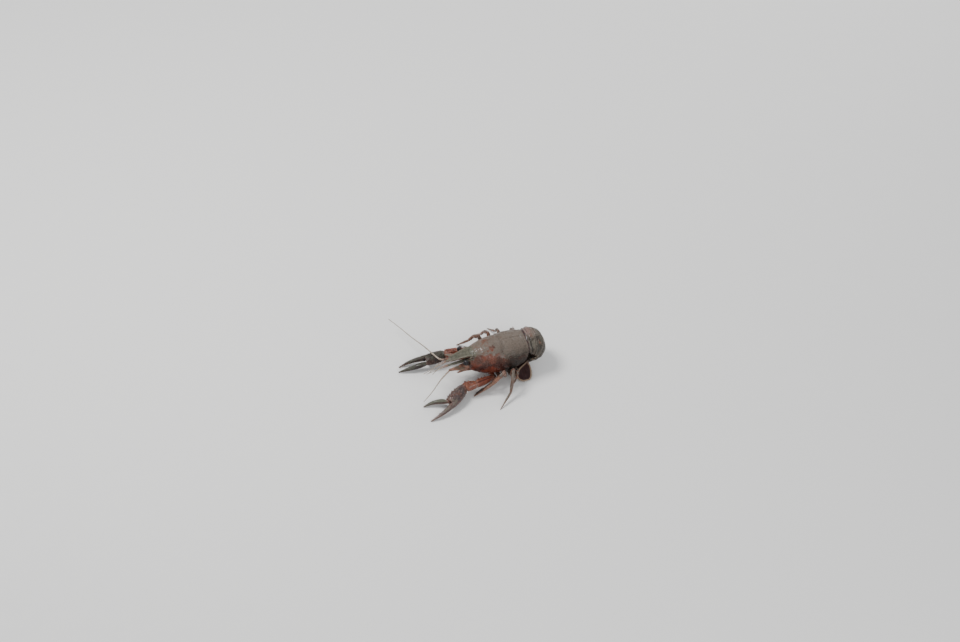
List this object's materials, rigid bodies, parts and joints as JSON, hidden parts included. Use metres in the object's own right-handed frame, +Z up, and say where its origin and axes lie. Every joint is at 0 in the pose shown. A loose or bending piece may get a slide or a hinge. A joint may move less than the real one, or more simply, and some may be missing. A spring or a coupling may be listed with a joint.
{
  "type": "crayfish",
  "caption": "Still, life-size model of a red swamp crayfish with mud on its back, tail curled under, one claw open, resting on claws, leg tips and tail fan.",
  "frame": {"origin": "middle of the footprint's box, on the floor that the claws, leg tips and tail fan stand on", "axes": "head towards -X, the animal's right side towards +Y, +Z up"},
  "size_m": [0.0912, 0.0874, 0.027],
  "materials": {
    "shell": "wet dark red shell with grey mud on the back",
    "tail_shell": "mud-coated olive grey shell",
    "claw_shell": "pinkish brown shell, orange red at the joints, grey fingers",
    "leg_shell": "pinkish orange shell with grey mud",
    "feeler": "pale orange to grey",
    "eye": "dark and shiny",
    "fan": "dark red with a pale fringe"
  },
  "bodies": {
    "root": {"abdomen_1": "tail_shell", "abdomen_2": "tail_shell", "abdomen_3": "tail_shell", "abdomen_4": "tail_shell", "abdomen_5": "tail_shell", "abdomen_6": "tail_shell", "antenna_left": "feeler", "antenna_left_base": "feeler", "antenna_right": "feeler", "antenna_right_base": "feeler", "antennule_left": "feeler", "antennule_right": "feeler", "carapace": "shell", "cheliped_left_carpus": "claw_shell", "cheliped_left_claw": "claw_shell", "cheliped_left_finger": "claw_shell", "cheliped_left_ischium": "claw_shell", "cheliped_left_merus": "claw_shell", "cheliped_right_carpus": "claw_shell", "cheliped_right_claw": "claw_shell", "cheliped_right_finger": "claw_shell", "cheliped_right_ischium": "claw_shell", "cheliped_right_merus": "claw_shell", "eye_left": "eye", "eye_right": "eye", "leg_left_2_lower": "leg_shell", "leg_left_2_upper": "leg_shell", "leg_left_3_lower": "leg_shell", "leg_left_3_upper": "leg_shell", "leg_left_4_lower": "leg_shell", "leg_left_4_upper": "leg_shell", "leg_left_5_lower": "leg_shell", "leg_left_5_upper": "leg_shell", "leg_right_2_lower": "leg_shell", "leg_right_2_upper": "leg_shell", "leg_right_3_lower": "leg_shell", "leg_right_3_upper": "leg_shell", "leg_right_4_lower": "leg_shell", "leg_right_4_upper": "leg_shell", "leg_right_5_lower": "leg_shell", "leg_right_5_upper": "leg_shell", "maxilliped_left": "leg_shell", "maxilliped_right": "leg_shell", "sternum": "shell", "telson": "fan", "uropod_left_inner": "fan", "uropod_left_outer": "fan", "uropod_right_inner": "fan", "uropod_right_outer": "fan"}
  },
  "joints": []
}
